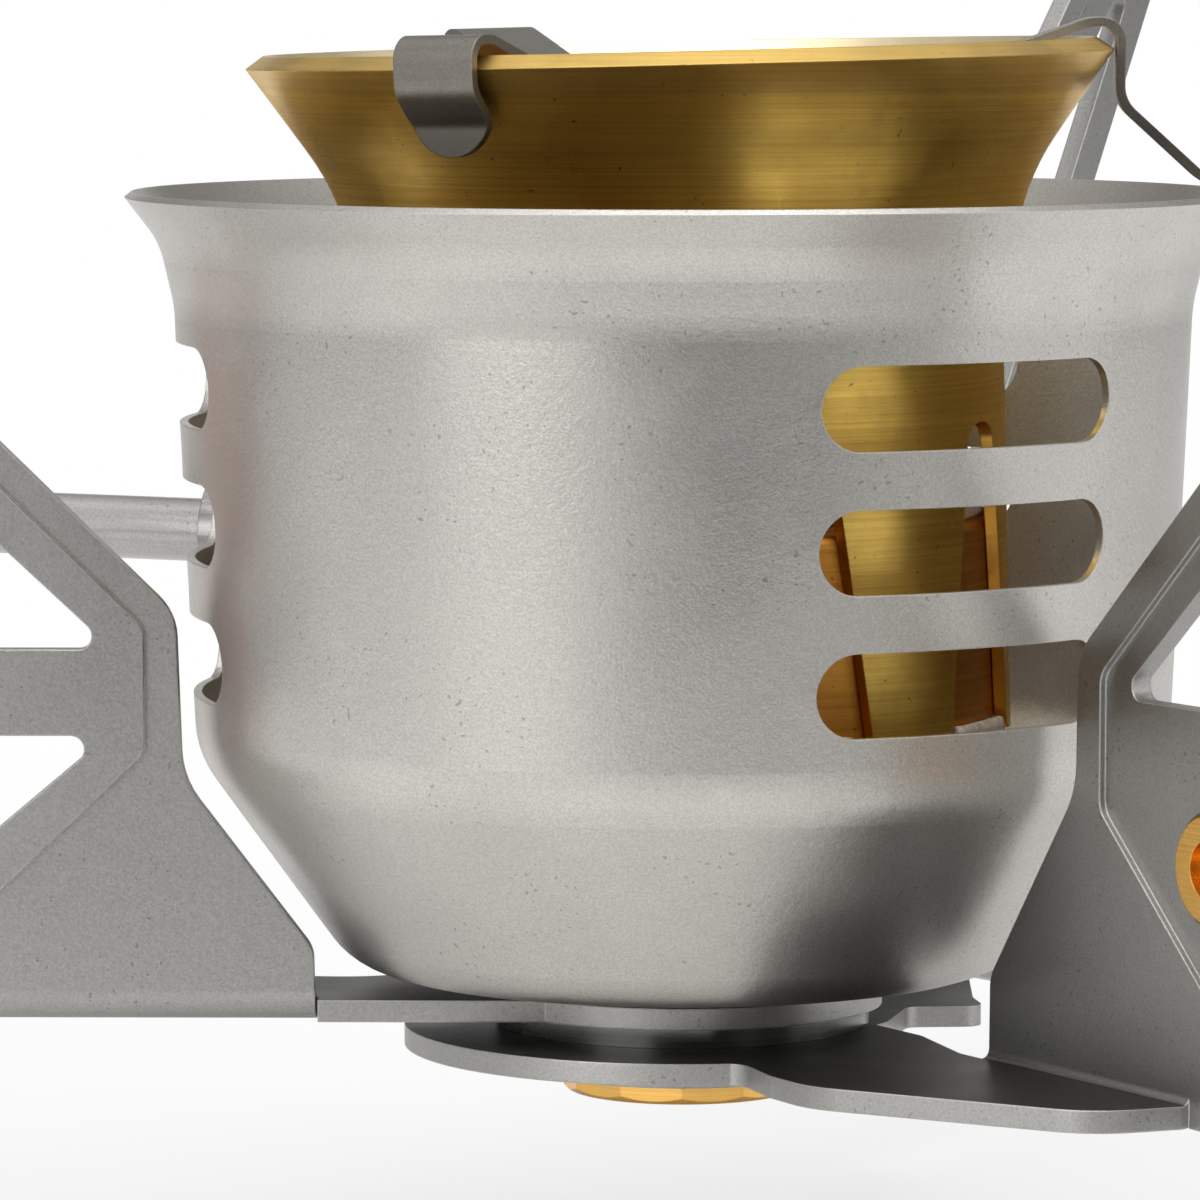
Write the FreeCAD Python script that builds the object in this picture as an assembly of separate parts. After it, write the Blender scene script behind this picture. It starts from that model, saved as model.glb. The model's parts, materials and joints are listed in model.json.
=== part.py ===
import FreeCAD, Part
import os
from math import acos, asin, atan2, cos, degrees, hypot, pi, radians, sin, sqrt, tan

# Multi-fuel camping stove burner. Millimetres, +Z up.
# The origin is the centre of the centre nut's underside, on the burner's vertical axis.
# A leg is drawn pointing along +X (x is the reach, y the sideways offset) and then turned to its place.

# Overall sizes
ground_gap = 12.0
total_height = 88.0
rim_radius = 33.15

# Stack of plates on the pivot, from the nut up
nut_head_height = 1.4
leg_sheet = 1.3
friction_washer_height = 1.2
thrust_washer_height = 0.9
bowl_wall = 0.5
foot_washer_height = 0.5

ground_z = -ground_gap
pot_z = ground_z + total_height
rear_flange_z = nut_head_height
fixed_flange_z = rear_flange_z + leg_sheet
friction_washer_z = fixed_flange_z + leg_sheet
left_flange_z = friction_washer_z + friction_washer_height
thrust_washer_z = left_flange_z + leg_sheet
bowl_bottom_z = thrust_washer_z + thrust_washer_height
bowl_floor_z = bowl_bottom_z + bowl_wall
foot_z = bowl_floor_z + foot_washer_height

# Clearances
running_gap = 0.06
sheet_gap = 0.15
pad_gap = 0.3

# Azimuths of the three legs, degrees
fixed_leg_azimuth = -58.0
left_leg_azimuth = 180.0
rear_leg_azimuth = 60.0

# Bowl
bowl_height = 46.1
rim_z = bowl_bottom_z + bowl_height
lip_radius = 31.1
lip_drop = 2.7
lip_bend = 5.0
shoulder_radius = 30.25
shoulder_drop = 6.4
shoulder_bend = 8.0
waist_radius = 29.04
waist_drop = 33.0
waist_bend = 6.0
floor_corner_radius = 19.6
floor_bend = 5.0
slot_azimuths = (-55.6, 64.4, -175.6)
slot_rows = 3
slot_height = 4.8
slot_pitch = 8.05
slot_top_drop = 8.52
slot_half_angle = 19.55
slot_end_azimuth_radius = 30.0
bolt_hole_gap = 0.3

# Centre pivot
nut_radius = 7.3
nut_sides = 12
nut_edge_bevel = 0.4
sleeve_radius = 4.0
bolt_radius = 2.5
bolt_recess = 0.5
stud_engagement = 3.4
friction_washer_radius = 11.2
thrust_washer_radius = 10.0
foot_washer_radius = 7.8

# Burner foot, jet and mixing tube
foot_radius = 8.8
foot_height = 9.3
boss_radius = 5.0
boss_height = 3.5
jet_hex = 5.5
jet_height = 3.2
jet_stem_radius = 1.9
jet_stem_length = 3.0
jet_bore_radius = 0.35
tube_wall = 0.8
tube_top_drop = 12.0
tube_window_count = 4
tube_window_width = 5.6
tube_window_bend = 2.3
tube_window_height = 8.5
tube_window_z = 24.3

# Burner cup and bell; the rises and drops are measured from the bowl's rim
bell_tip_radius = 25.75
bell_tip_rise = 8.1
bell_lip_length = 2.2
bell_lip_wall = 1.3
bell_wall = 0.7
throat_radius = 20.15
throat_rise = 0.2
throat_bend = 14.0
neck_radius = 18.9
neck_drop = 10.0
neck_bend = 12.0
skirt_drop = 13.35
tongue_count = 8
tongue_azimuth = -47.2
tongue_top_width = 11.2
tongue_end_width = 6.2
tongue_end_drop = 31.9
tongue_end_bend = 1.2
tongue_root_radius = 1.6
tongue_root_height = 1.0
gaps_to_pipe = 4.5
cup_floor = 0.8
cup_rim_height = 3.6
cup_wall = 0.6
port_radius = 1.3
port_ring_radii = (9.5, 14.0)
port_counts = (10, 16)

# Brass shell inside the bell's tongues, round the pipe's loop; it stands in a groove of the pad
shell_wall = 0.5
shell_rim_drop = 19.15
shell_rim_bend = 0.8
shell_rim_rise = 0.3
shell_rim_radius = 16.05
shell_foot_depth = 0.6
shell_foot_room = 0.5

# The cup, the bell and the flame spreader lean on the mixing tube, higher on the right
bell_lean = 1.35
bell_shift = 0.25

# Flame spreader
spreader_thickness = 0.55
spreader_width = 5.3
spreader_hub_radius = 6.5
spreader_hub_rise = 3.6
spreader_hub_bend = 6.0
spreader_turn = -1.6
spreader_azimuths = (0.0, 120.0, -120.0)
spreader_hole_radius = 1.6
spreader_top_rise = 9.47
spreader_top_length = 1.6
spreader_top_bend = 1.5
tab_gap = 0.13
tab_corner_bend = 0.9
tab_bend_rise = 7.0
tab_inset_rise = 5.1
tab_inset = 1.7
tab_end_rise = 3.1
lever_inset = 0.2
lever_bend_rise = 4.9
lever_bend = 2.4
lever_level_reach = 30.9
lever_level_rise = -0.1
lever_reach = 35.0

# Priming pad
pad_outer_radius = 19.85
pad_foot_radius = 16.0
pad_top_z = 23.1
pad_shoulder_z = 13.0
pad_slit_width = 8.2
pad_lean_room = 0.8
pad_shoulder_bend = 4.0
pad_top_bend = 0.5
pad_nut_room = 1.0

# Fuel pipe and inlet
pipe_drop = 21.1
pipe_radius = 1.95
pipe_bore_radius = 1.1
loop_radius = 13.5
loop_entry_bend = 5.0
loop_sweep = 250.0
down_bend = 5.0
foot_entry_bend = 3.0
foot_port_z = 13.2
foot_port_depth = 1.0
pipe_end_reach = 92.0
gland_radius = 3.2
gland_flange_radius = 4.4
gland_flange = 0.7
gland_wall_room = 0.6
gland_length = 3.2
pipe_nut_hex = 7.0
pipe_nut_length = 2.4
inlet_hex = 9.0
pipe_seat_length = 4.0
inlet_length = 13.0
inlet_neck_radius = 3.4
inlet_neck_length = 3.0
inlet_bevel = 0.5
nipple_radius = 2.3
nipple_bore_radius = 1.2
inlet_passage = 2.0
nipple_tip_length = 3.0
nipple_collar_radius = 3.3
nipple_collar_length = 1.2
barb_radius = 3.0
barb_count = 3
barb_pitch = 3.0
barb_length = 2.4
barb_room = 1.8
gland_nut_hex = 10.0
gland_nut_wall = 0.9
gland_nut_bevel = 0.6
collar_gap = 0.3
o_ring_section = 0.4
o_ring_inset = 3.0
filter_length = 4.0
filter_inset = 1.0

# Upright plate of the two folding legs and of the fixed leg.
# Drops are measured down from the rim; a corner is where its straight edges would meet.
folding_plate = {
    "end_reach": 21.6,
    "heel_reach": 21.7,
    "heel_drop": 44.0,
    "belly_reach": 29.35,
    "belly_drop": 33.95,
    "flank_reach": 29.7,
    "arm_drop": 24.2,
    "arm_slope": 0.98,
    "window_reach": 33.35,
    "window_drop": 26.25,
    "window_slope": 0.935,
    "pressed_border": 1.85,
    "pressed_low_drop": 32.3,
    "pressed_low_reach": 47.4,
    "web_reach": 0.0,
}
fixed_plate = {
    "end_reach": 21.4,
    "heel_reach": 21.5,
    "heel_drop": 44.7,
    "belly_reach": 29.95,
    "belly_drop": 33.0,
    "flank_reach": 30.05,
    "arm_drop": 25.2,
    "arm_slope": 0.907,
    "window_reach": 33.4,
    "window_drop": 27.45,
    "window_slope": 0.862,
    "pressed_border": 2.2,
    "pressed_low_drop": 33.9,
    "pressed_low_reach": 50.1,
    "web_reach": 66.0,
}
plate_offset = 8.9
pressed_step = 0.4
pressed_edge = 2.2
bend_outer_radius = 1.8
heel_bend = 2.0
belly_bend = 5.0
flank_bend = 3.5
arm_top_bend = 3.0
strut_start_reach = 43.0
strut_start_bend = 8.0
strut_end_back = 4.0
strut_end_rise = 3.5
strut_end_bend = 4.0
tip_depth = 7.0
tip_run = 2.0
tip_bend = 2.0
shin_bend = 3.0
foot_length = 7.0
foot_bend = 1.5
shin_top_back = 4.0
shin_lean = 5.0
shin_width = 8.0
shin_depth = 7.0
tooth_count = 9
rail_length = 26.4
tooth_depth = 0.8
tooth_margin = 2.4
rail_height = 8.5
brace_foot_reach = 49.6
brace_slope = 1.45
brace_width = 3.6
window_apex_bend = 0.8
window_bend = 3.0
low_window_reach = 33.67
low_window_drop = 31.33
low_window_slope = 0.842
low_window_turn_reach = 49.5
low_window_turn_bend = 4.0
pressed_bend = 1.5

# Leg flanges in plan, as (reach, offset, bend) corners
fixed_disc_radius = 16.7
left_disc_radius = 12.0
rear_disc_radius = 9.6
flange_tip_reach = 41.0
fixed_flange_heel = [(5.0, -5.0, 0), (13.5, -9.8, 0), (15.7, -5.7, 1.6), (20.2, -6.7, 2.0)]
rear_flange_heel = [(0, -7.0, 0), (13.0, -7.0, 2.0), (19.0, -5.2, 1.0), (21.7, -9.2, 1.2)]
left_flange_heel = [(0, -6.0, 0), (9.0, -6.5, 0), (19.0, -0.5, 6.0)]
wide_flange_edge = [(24.5, -6.9, 6.0), (40.0, 1.8, 5.0)]
narrow_flange_edge = [(30.0, -1.5, 8.0), (40.0, 2.6, 4.0)]

# Edge that is cut away beside the upright plate, from outside in to the line of the bend
bend_line = plate_offset - bend_outer_radius
fixed_flange_relief = [(-fixed_disc_radius, plate_offset, 0), (12.5, plate_offset, 2.0), (19.2, bend_line, 0.8)]
folding_flange_relief = [(21.45, plate_offset, 0), (21.45, bend_line, 0)]

# Spare jets held in the fixed leg
spare_jet_reaches = (43.35, 54.35)
spare_jet_drop = 36.05
spare_jet_radius = 3.3
spare_jet_bore_radius = 1.65
spare_jet_thread_radius = 2.6
spare_jet_head = 1.0
spare_jet_tail = 0.6
spare_jet_face = 0.8
spare_jet_bevel = 0.3

# Places that follow from the sizes above; the pipe passes midway between two tongues of the bell
pipe_azimuth = tongue_azimuth + 360.0 / tongue_count * gaps_to_pipe
pipe_z = rim_z - pipe_drop
foot_top_z = foot_z + foot_height + boss_height
stud_top_z = foot_z + stud_engagement
tube_top_z = rim_z - tube_top_drop
shell_radius = neck_radius - bell_wall - running_gap
inlet_start = pipe_end_reach - pipe_seat_length
nipple_start = pipe_end_reach + inlet_passage
o_ring_reach = nipple_start + o_ring_inset
collar_start = inlet_start + inlet_length + inlet_neck_length
barb_start = collar_start + nipple_collar_length + barb_room
nipple_tip = barb_start + barb_count * barb_pitch + nipple_tip_length
fixed_arm_run = (pot_z - rim_z + fixed_plate["arm_drop"]) / fixed_plate["arm_slope"]
leg_reach = fixed_plate["flank_reach"] + fixed_arm_run + rail_length
shin_top_reach = leg_reach - shin_top_back
foot_outer_reach = shin_top_reach - shin_lean
foot_inner_reach = foot_outer_reach - foot_length
strut_end_reach = foot_inner_reach - strut_end_back
strut_end_z = ground_z + strut_end_rise


def vec(x, y, z):
    return FreeCAD.Vector(x, y, z)


def leaned(shape):
    """The shape set over with the bell, about the top of the mixing tube."""
    copy = shape.copy()
    copy.translate(vec(bell_shift, 0, 0))
    copy.rotate(vec(bell_shift, 0, tube_top_z), vec(0, 1, 0), -bell_lean)
    return copy


def turned(shape, azimuth):
    """The shape turned about the burner's axis."""
    copy = shape.copy()
    copy.rotate(vec(0, 0, 0), vec(0, 0, 1), azimuth)
    return copy


def rounded_wire(corners, place, closed=True):
    """A wire through the corners (a, b, radius); place turns (a, b) into a point in space."""
    count = len(corners)
    starts = []
    ends = []
    mids = []
    for i, (a, b, radius) in enumerate(corners):
        if radius <= 0 or (not closed and i in (0, count - 1)):
            starts.append((a, b))
            ends.append((a, b))
            mids.append(None)
            continue
        pa, pb, _ = corners[i - 1]
        na, nb, _ = corners[(i + 1) % count]
        back = hypot(pa - a, pb - b)
        ahead = hypot(na - a, nb - b)
        ua, ub = (pa - a) / back, (pb - b) / back
        va, vb = (na - a) / ahead, (nb - b) / ahead
        half = acos(max(-1.0, min(1.0, ua * va + ub * vb))) / 2
        cut = radius / tan(half)
        starts.append((a + ua * cut, b + ub * cut))
        ends.append((a + va * cut, b + vb * cut))
        wa, wb = ua + va, ub + vb
        size = hypot(wa, wb)
        reach = radius / sin(half) - radius
        mids.append((a + wa / size * reach, b + wb / size * reach))
    edges = []
    for i in range(count):
        if mids[i]:
            edges.append(Part.Arc(place(*starts[i]), place(*mids[i]), place(*ends[i])).toShape())
        if i == count - 1 and not closed:
            break
        here = place(*ends[i])
        there = place(*starts[(i + 1) % count])
        if here.distanceToPoint(there) > 1e-6:
            edges.append(Part.LineSegment(here, there).toShape())
    return Part.Wire(edges)


def on_plan(z):
    return lambda x, y: vec(x, y, z)


def on_section(a, b):
    return vec(a, 0, b)


def plate(corners, z, thickness):
    """A flat plate with its outline in plan, from z upwards."""
    return Part.Face(rounded_wire(corners, on_plan(z))).extrude(vec(0, 0, thickness))


def upright(corners, y, thickness):
    """A flat plate standing in the X and Z directions, from y sideways."""
    wire = rounded_wire(corners, lambda a, b: vec(a, y, b))
    return Part.Face(wire).extrude(vec(0, thickness, 0))


def lathe(corners):
    """A solid turned about the burner's axis from (radius, z) corners."""
    return Part.Face(rounded_wire(corners, on_section)).revolve(vec(0, 0, 0), vec(0, 0, 1), 360)


def tube(radius, z, height, bore=0.0):
    body = Part.makeCylinder(radius, height, vec(0, 0, z))
    if bore:
        body = body.cut(Part.makeCylinder(bore, height, vec(0, 0, z)))
    return body


def rod(radius, start, end, z, bore=0.0):
    """A round bar along +X at height z."""
    body = Part.makeCylinder(radius, end - start, vec(start, 0, z), vec(1, 0, 0))
    if bore:
        body = body.cut(Part.makeCylinder(bore, end - start, vec(start, 0, z), vec(1, 0, 0)))
    return body


def prism(sides, circumradius, height, place, axis):
    """A regular bar with the given number of sides along an axis."""
    points = []
    for i in range(sides + 1):
        angle = 2 * pi * i / sides
        points.append(vec(circumradius * cos(angle), circumradius * sin(angle), 0))
    body = Part.Face(Part.makePolygon(points)).extrude(vec(0, 0, height))
    body.Placement = FreeCAD.Placement(place, FreeCAD.Rotation(vec(0, 0, 1), axis))
    return body


def hex_circumradius(across_flats):
    return across_flats / 2 / cos(pi / 6)


def bevelled(body, cone_radius, height, place, axis, bevel):
    """The bar with its two ends' corners turned off."""
    blank = Part.makeCylinder(cone_radius, height, place, axis)
    rims = [e for e in blank.Edges if isinstance(e.Curve, Part.Circle)]
    return body.common(blank.makeChamfer(bevel, rims))


def offset_corners(corners, distance):
    """The open path of corners moved to its left, with its bends kept concentric."""
    lines = []
    for (a0, b0, _), (a1, b1, _) in zip(corners, corners[1:]):
        size = hypot(a1 - a0, b1 - b0)
        na, nb = -(b1 - b0) / size * distance, (a1 - a0) / size * distance
        lines.append((a0 + na, b0 + nb, a1 - a0, b1 - b0))
    moved = [(lines[0][0], lines[0][1], 0.0)]
    for i in range(1, len(corners) - 1):
        a0, b0, da, db = lines[i - 1]
        c0, d0, dc, dd = lines[i]
        cross = da * dd - db * dc
        along = ((c0 - a0) * dd - (d0 - b0) * dc) / cross
        radius = corners[i][2]
        radius = radius - distance if cross > 0 else radius + distance
        moved.append((a0 + da * along, b0 + db * along, max(radius, 0.0)))
    a0, b0, da, db = lines[-1]
    moved.append((a0 + da, b0 + db, 0.0))
    return moved


def sheet_section(path, thickness):
    """Corners of a strip of sheet that follows the path, on its left."""
    other = offset_corners(path, thickness)
    first, last = path[0], path[-1]
    return [(first[0], first[1], 0.0)] + path[1:-1] + [(last[0], last[1], 0.0)] + other[::-1]


def bowl_path():
    """Outside of the bowl from the rim down to the bolt hole."""
    return [
        (rim_radius, rim_z, 0.0),
        (lip_radius, rim_z - lip_drop, lip_bend),
        (shoulder_radius, rim_z - shoulder_drop, shoulder_bend),
        (waist_radius, rim_z - waist_drop, waist_bend),
        (floor_corner_radius, bowl_bottom_z, floor_bend),
        (bolt_radius + bolt_hole_gap, bowl_bottom_z, 0.0),
    ]


def bowl_shell():
    return lathe(sheet_section(bowl_path(), -bowl_wall))


def bowl_slot(z):
    """The space of one slot, centred on the X axis at height z."""
    half = slot_half_angle - degrees(slot_height / 2 / slot_end_azimuth_radius)
    inner = slot_end_azimuth_radius - slot_height
    outer = slot_end_azimuth_radius + slot_height
    low, high = z - slot_height / 2, z + slot_height / 2
    corners = [(inner, low, 0), (outer, low, 0), (outer, high, 0), (inner, high, 0)]
    face = Part.Face(rounded_wire(corners, on_section))
    space = turned(face.revolve(vec(0, 0, 0), vec(0, 0, 1), 2 * half), -half)
    for side in (-half, half):
        space = space.fuse(turned(rod(slot_height / 2, inner, outer, z), side))
    return space


def bowl_side_radius(z):
    """Middle of the bowl's wall at height z, below its shoulder."""
    share = (rim_z - shoulder_drop - z) / (waist_drop - shoulder_drop)
    return shoulder_radius + (waist_radius - shoulder_radius) * share - bowl_wall / 2


def burner_bowl():
    body = bowl_shell()
    for azimuth in slot_azimuths:
        for row in range(slot_rows):
            z = rim_z - slot_top_drop - slot_height / 2 - row * slot_pitch
            body = body.cut(turned(bowl_slot(z), azimuth))
    wall = bowl_side_radius(pipe_z)
    hole = rod(gland_radius, wall - gland_length, wall + gland_length, pipe_z)
    return body.cut(turned(hole, pipe_azimuth))


def arm_top(leg_plate):
    """Reach where the sloping arm meets the level top edge."""
    return leg_plate["flank_reach"] + (pot_z - rim_z + leg_plate["arm_drop"]) / leg_plate["arm_slope"]


def teeth(leg_plate):
    """Start reach of every notch in the top edge, and the pitch between them."""
    first = arm_top(leg_plate) + tooth_margin
    pitch = (leg_reach - tooth_margin - first) / tooth_count
    return [first + i * pitch for i in range(tooth_count)], pitch


def plate_outline(leg_plate, flange_z):
    """Edge of a leg's upright plate, as (reach, z, bend)."""
    corners = [
        (leg_plate["end_reach"], flange_z, 0),
        (leg_plate["heel_reach"], rim_z - leg_plate["heel_drop"], heel_bend),
        (leg_plate["belly_reach"], rim_z - leg_plate["belly_drop"], belly_bend),
        (leg_plate["flank_reach"], rim_z - leg_plate["arm_drop"], flank_bend),
        (arm_top(leg_plate), pot_z, arm_top_bend),
    ]
    starts, pitch = teeth(leg_plate)
    for start in starts:
        corners.append((start, pot_z, 0))
        corners.append((start + pitch / 4, pot_z - tooth_depth, 0))
        corners.append((start + pitch / 2, pot_z, 0))
    corners += [
        (leg_reach, pot_z, tip_bend),
        (leg_reach, pot_z - tip_depth, tip_bend),
        (shin_top_reach, pot_z - tip_depth - tip_run, shin_bend),
        (foot_outer_reach, ground_z, foot_bend),
        (foot_inner_reach, ground_z, foot_bend),
        (strut_end_reach, strut_end_z, strut_end_bend),
        (strut_start_reach, flange_z, strut_start_bend),
    ]
    return corners


def shin_reach(z):
    """Outer edge of the leg's outer upright at height z."""
    top = pot_z - tip_depth - tip_run
    share = (top - z) / (top - ground_z)
    return shin_top_reach + (foot_outer_reach - shin_top_reach) * share


def strut_edge(reach, flange_z, depth):
    """Height of a line inside the sloping lower strut, depth above its lower edge."""
    share = (reach - strut_start_reach) / (strut_end_reach - strut_start_reach)
    return flange_z + (strut_end_z - flange_z) * share + depth


def brace_reach(leg_plate, z):
    """Inner edge, at height z, of the steep brace between the middle strut and the rail."""
    return brace_foot_reach + (z - rim_z + leg_plate["window_drop"]) / brace_slope


def inner_window(leg_plate):
    """The narrow opening between the arm, the middle strut and the brace."""
    strut = rim_z - leg_plate["window_drop"]
    slope = leg_plate["window_slope"]
    base = brace_foot_reach - leg_plate["window_reach"]
    apex_rise = base * slope * brace_slope / (brace_slope - slope)
    return [
        (leg_plate["window_reach"], strut, window_apex_bend),
        (leg_plate["window_reach"] + apex_rise / slope, strut + apex_rise, window_apex_bend),
        (brace_foot_reach, strut, window_bend),
    ]


def outer_window(leg_plate):
    """The opening between the brace, the middle strut, the upright and the rail."""
    rail = pot_z - rail_height
    strut = rim_z - leg_plate["window_drop"]
    return [
        (brace_reach(leg_plate, strut) + brace_width, strut, window_bend),
        (brace_reach(leg_plate, rail) + brace_width, rail, window_bend),
        (shin_reach(rail) - shin_width, rail, window_bend),
        (shin_reach(strut) - shin_width, strut, window_bend),
    ]


def low_window_depth(flange_z):
    """Height of the lower strut, from where the lower window's sloping edge turns."""
    turn_z = rim_z - low_window_drop - (low_window_turn_reach - low_window_reach) * low_window_slope
    return turn_z - strut_edge(low_window_turn_reach, flange_z, 0)


def lower_window(leg_plate, flange_z):
    """The opening below the middle strut; a plate with a solid web starts it further out."""
    strut = rim_z - low_window_drop
    depth = low_window_depth(flange_z)
    outer = shin_reach(strut_end_z) - shin_width
    corners = [
        (shin_reach(strut) - shin_width, strut, window_bend),
        (outer, strut_edge(outer, flange_z, depth), window_bend),
    ]
    web = leg_plate["web_reach"]
    if web:
        return corners + [(web, strut_edge(web, flange_z, depth), window_bend), (web, strut, window_bend)]
    turn = (low_window_turn_reach, strut_edge(low_window_turn_reach, flange_z, depth), low_window_turn_bend)
    return corners + [turn, (low_window_reach, strut, window_apex_bend)]


def pressed_area(leg_plate, flange_z):
    """The area of the upright plate that is pressed outwards."""
    border = leg_plate["pressed_border"]
    slope = leg_plate["arm_slope"]
    left = leg_plate["flank_reach"] + border
    start_z = rim_z - leg_plate["arm_drop"] + slope * border - border * hypot(1, slope)
    top = pot_z - rail_height + pressed_edge
    foot = ground_z + shin_depth
    low_reach = leg_plate["pressed_low_reach"]
    return [
        (left, start_z, pressed_bend),
        (left + (top - start_z) / slope, top, window_bend),
        (shin_reach(top) - pressed_edge, top, window_bend),
        (shin_reach(foot) - pressed_edge, foot, tip_bend),
        (strut_end_reach, strut_edge(strut_end_reach, flange_z, pressed_edge), tip_bend),
        (low_reach, strut_edge(low_reach, flange_z, pressed_edge), tip_bend),
        (left, rim_z - leg_plate["pressed_low_drop"], pressed_bend),
    ]


def upright_plate(leg_plate, flange_z):
    inner_face = plate_offset - leg_sheet
    body = upright(plate_outline(leg_plate, flange_z), inner_face, leg_sheet)
    area = pressed_area(leg_plate, flange_z)
    body = body.cut(upright(area, inner_face, pressed_step))
    body = body.fuse(upright(area, inner_face + pressed_step, leg_sheet))
    for window in (inner_window(leg_plate), outer_window(leg_plate), lower_window(leg_plate, flange_z)):
        body = body.cut(upright(window, inner_face - leg_sheet, leg_sheet * 4))
    return body


def leg_bend(start_reach, flange_z):
    """The rounded corner between the flange and the upright plate."""
    length = flange_tip_reach - start_reach
    y = plate_offset - bend_outer_radius
    start = vec(start_reach, y, flange_z + bend_outer_radius)
    ring = Part.makeCylinder(bend_outer_radius, length, start, vec(1, 0, 0))
    ring = ring.cut(Part.makeCylinder(bend_outer_radius - leg_sheet, length, start, vec(1, 0, 0)))
    corner = vec(start_reach, y, flange_z)
    return ring.common(Part.makeBox(length, bend_outer_radius, bend_outer_radius, corner))


def flange(plan, relief, start, z, disc_radius):
    """The flat foot of a leg round the pivot, relieved where the upright plate's end stands."""
    body = plate(plan, z, leg_sheet).fuse(tube(disc_radius, z, leg_sheet))
    corners = relief + [
        (start, bend_line, 0),
        (start, 2 * plate_offset, 0),
        (relief[0][0], 2 * plate_offset, 0),
    ]
    return body.cut(plate(corners, z, leg_sheet))


def leg(leg_plate, flange_z, disc_radius, plan, relief):
    """One leg: a flange round the pivot, a bend and an upright plate."""
    start = leg_plate["end_reach"]
    inner_face = plate_offset - leg_sheet
    corner = vec(start, inner_face - leg_sheet, flange_z)
    room = Part.makeBox(flange_tip_reach - start, leg_sheet * 3, bend_outer_radius, corner)
    body = upright_plate(leg_plate, flange_z).cut(room)
    body = body.fuse(leg_bend(start, flange_z))
    body = body.fuse(flange(plan, relief, start, flange_z, disc_radius))
    body = body.removeSplitter()
    return body.cut(tube(sleeve_radius + running_gap, flange_z, leg_sheet))


def flange_plan(heel, edge):
    """Plan of a flange: the disc's side, its heel and free edge, then the line of the bend."""
    return (
        [(heel[0][0], plate_offset, 0)]
        + heel
        + edge
        + [
            (flange_tip_reach, bend_line, 0),
            (folding_plate["end_reach"], bend_line, 0),
            (folding_plate["end_reach"], plate_offset, 0),
        ]
    )


def spare_jet_places():
    return [(reach, rim_z - spare_jet_drop) for reach in spare_jet_reaches]


def across(radius, reach, z, start, end):
    """A round bar along Y."""
    return Part.makeCylinder(radius, end - start, vec(reach, start, z), vec(0, 1, 0))


def fixed_leg():
    plan = flange_plan(fixed_flange_heel, wide_flange_edge)
    body = leg(fixed_plate, fixed_flange_z, fixed_disc_radius, plan, fixed_flange_relief)
    for reach, z in spare_jet_places():
        body = body.cut(across(spare_jet_thread_radius, reach, z, 0, 2 * plate_offset))
    return turned(body, fixed_leg_azimuth)


def left_leg():
    plan = flange_plan(left_flange_heel, narrow_flange_edge)
    body = leg(folding_plate, left_flange_z, left_disc_radius, plan, folding_flange_relief)
    return turned(body, left_leg_azimuth)


def rear_leg():
    plan = flange_plan(rear_flange_heel, wide_flange_edge)
    body = leg(folding_plate, rear_flange_z, rear_disc_radius, plan, folding_flange_relief)
    return turned(body, rear_leg_azimuth)


def centre_nut():
    head = prism(nut_sides, nut_radius, nut_head_height, vec(0, 0, 0), vec(0, 0, 1))
    head = bevelled(head, nut_radius, nut_head_height, vec(0, 0, 0), vec(0, 0, 1), nut_edge_bevel)
    body = head.fuse(tube(sleeve_radius, 0, bowl_bottom_z))
    return body.cut(tube(bolt_radius, 0, bowl_bottom_z))


def centre_stud():
    return tube(bolt_radius, bolt_recess, stud_top_z - bolt_recess)


def friction_washer():
    bore = sleeve_radius + running_gap
    return tube(friction_washer_radius, friction_washer_z, friction_washer_height, bore)


def thrust_washer():
    return tube(thrust_washer_radius, thrust_washer_z, thrust_washer_height, sleeve_radius + running_gap)


def foot_washer():
    return tube(foot_washer_radius, bowl_floor_z, foot_washer_height, bolt_radius + bolt_hole_gap)


def pipe_direction():
    """Unit vector of the horizontal run into the burner foot, in the pipe's own frame."""
    x, y = pipe_drop_place()
    size = hypot(x, y)
    return x / size, y / size


def loop_entry_angle():
    """Where the entry bend meets the loop, radians."""
    return asin(loop_entry_bend / (loop_radius + loop_entry_bend))


def pipe_drop_place():
    """Where the pipe turns down beside the burner foot, in the pipe's own frame."""
    angle = loop_entry_angle() + radians(loop_sweep)
    x = loop_radius * cos(angle) - down_bend * sin(angle)
    y = loop_radius * sin(angle) + down_bend * cos(angle)
    return x, y


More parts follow.
